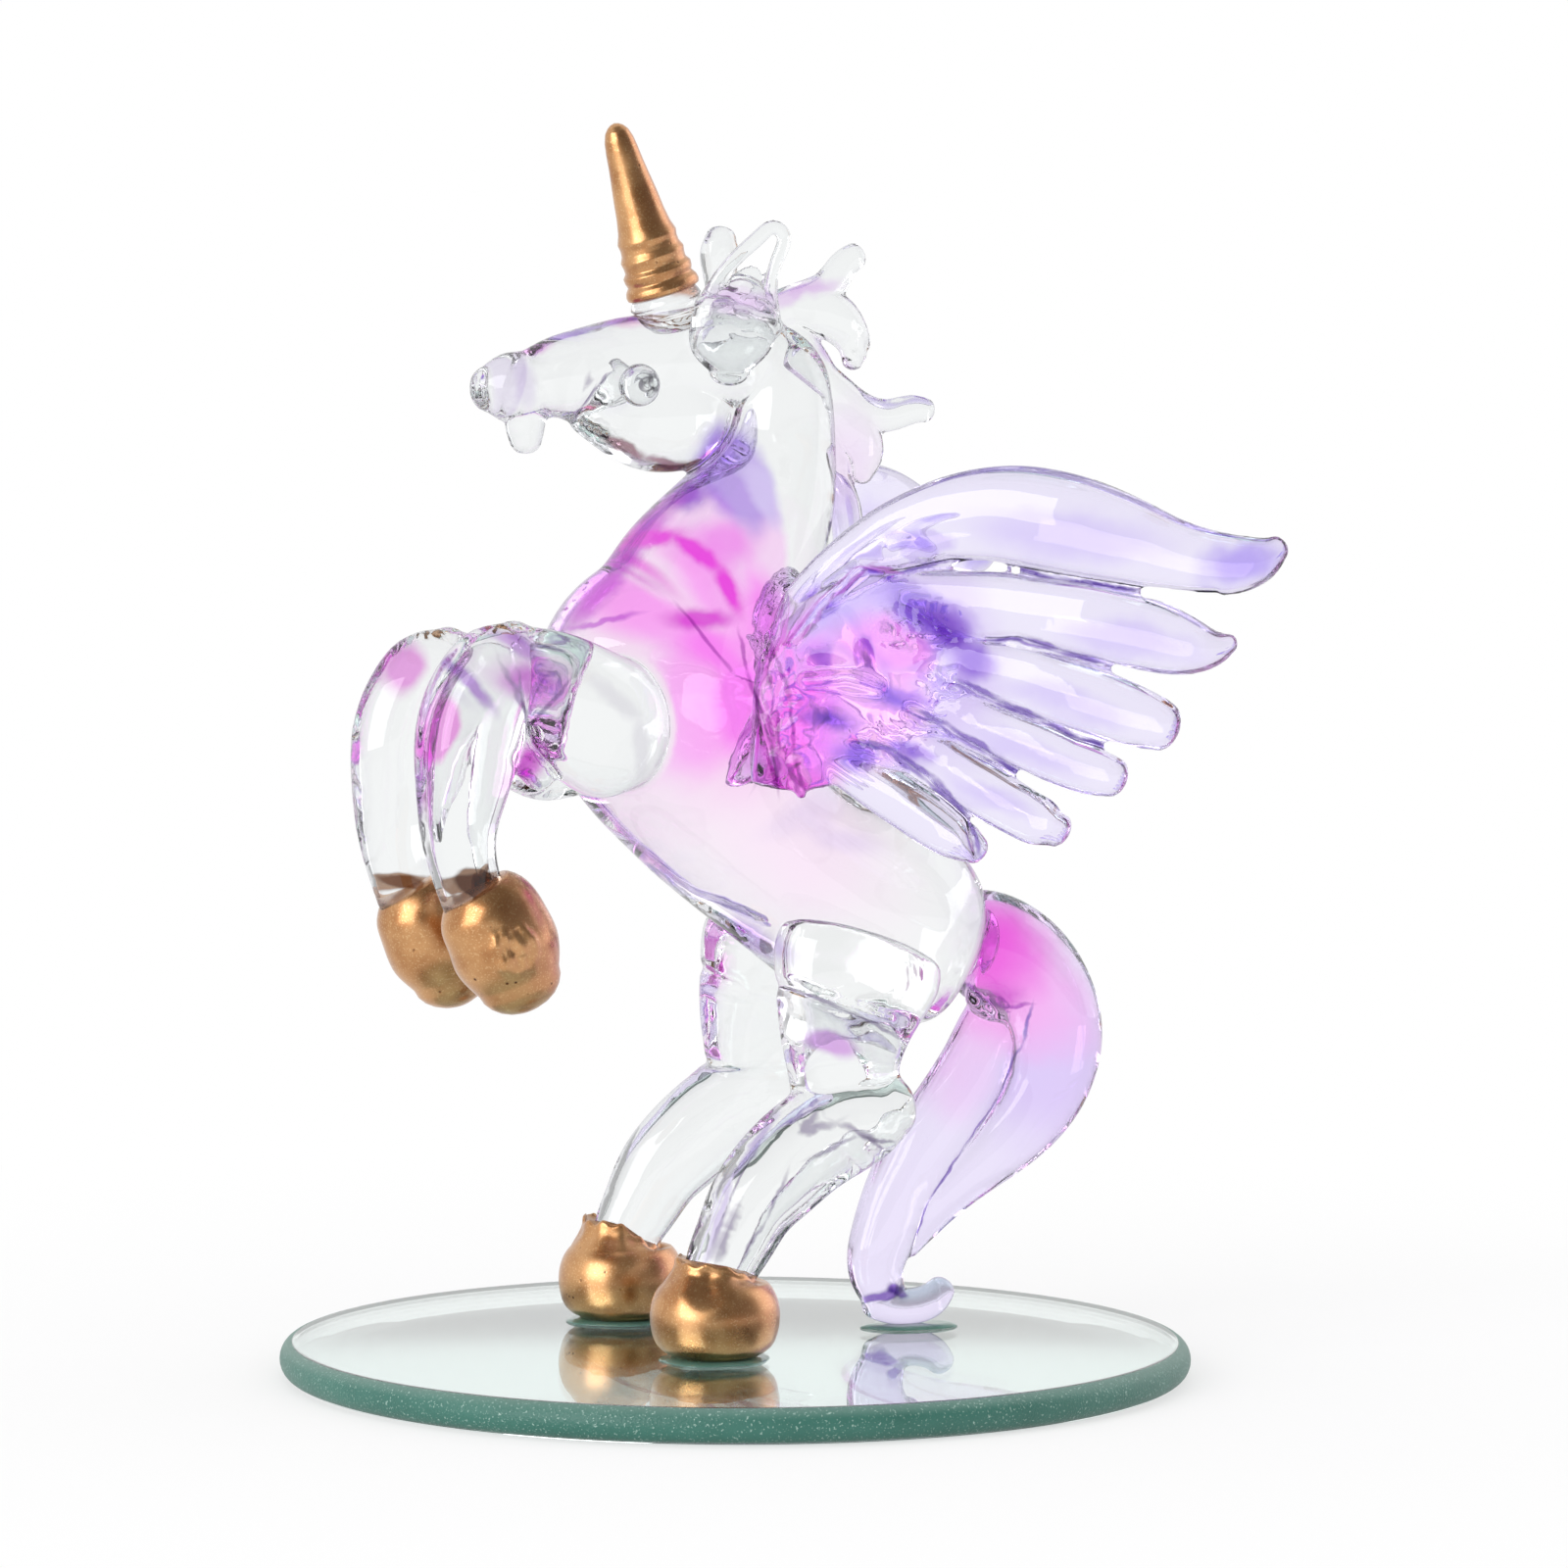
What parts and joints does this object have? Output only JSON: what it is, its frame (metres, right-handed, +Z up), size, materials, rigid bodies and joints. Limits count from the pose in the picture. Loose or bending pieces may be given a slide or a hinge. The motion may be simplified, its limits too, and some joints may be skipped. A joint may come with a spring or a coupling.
{
  "type": "unicorn figurine",
  "caption": "Rearing winged unicorn ornament in drawn glass with a gilded horn and hooves, glued to a round mirror base.",
  "frame": {"origin": "centre of the mirror's underside, on the surface that the ornament stands on", "axes": "+Z up out of the mirror; the animal faces -X, and its left side is -Y"},
  "size_m": [0.076, 0.076, 0.104],
  "materials": {
    "clear_glass": "flame polished, clear",
    "tinted_glass": "flame polished, clear with magenta and violet inside",
    "wing_glass": "flame polished, pale violet",
    "palm_glass": "pressed, pink into violet",
    "tail_glass": "flame polished, pink into lavender",
    "gold_lacquer": "metallic bronze-gold lacquer on glass",
    "plate_glass": "polished faces, ground pencil edge",
    "mirror_backing": "silvered, painted behind",
    "adhesive": "clear adhesive, shown with the green of the glass under it"
  },
  "bodies": {
    "root": {"adhesive_hind_left": "adhesive", "adhesive_hind_right": "adhesive", "adhesive_tail": "adhesive", "ear_left": "clear_glass", "ear_pad_left": "clear_glass", "ear_right": "clear_glass", "eye_left": "clear_glass", "eye_right": "clear_glass", "foreleg_lower_left": "clear_glass", "foreleg_lower_right": "clear_glass", "foreleg_upper_left": "clear_glass", "foreleg_upper_right": "clear_glass", "head": "clear_glass", "hoof_fore_left": "gold_lacquer", "hoof_fore_right": "gold_lacquer", "hoof_hind_left": "gold_lacquer", "hoof_hind_right": "gold_lacquer", "horn": "gold_lacquer", "horn_base": "clear_glass", "jaw": "clear_glass", "lower_lip": "clear_glass", "mane_crest": "clear_glass", "mane_curl_middle": "clear_glass", "mane_curl_upper": "clear_glass", "mane_lock_lower": "clear_glass", "mane_lock_middle": "clear_glass", "mane_lock_upper": "clear_glass", "mirror_backing": "mirror_backing", "mirror_glass": "plate_glass", "muzzle_tip": "clear_glass", "neck": "tinted_glass", "shank_left": "clear_glass", "shank_right": "clear_glass", "tail_foot": "tail_glass", "tail_inner": "tail_glass", "tail_outer": "tail_glass", "thigh_left": "clear_glass", "thigh_right": "clear_glass", "torso": "tinted_glass", "wing_feather_1_left": "wing_glass", "wing_feather_1_right": "wing_glass", "wing_feather_2_left": "wing_glass", "wing_feather_2_right": "wing_glass", "wing_feather_3_left": "wing_glass", "wing_feather_3_right": "wing_glass", "wing_feather_4_left": "wing_glass", "wing_feather_4_right": "wing_glass", "wing_feather_5_left": "wing_glass", "wing_feather_5_right": "wing_glass", "wing_feather_6_left": "wing_glass", "wing_feather_6_right": "wing_glass", "wing_palm_left": "palm_glass", "wing_palm_right": "palm_glass"}
  },
  "joints": []
}
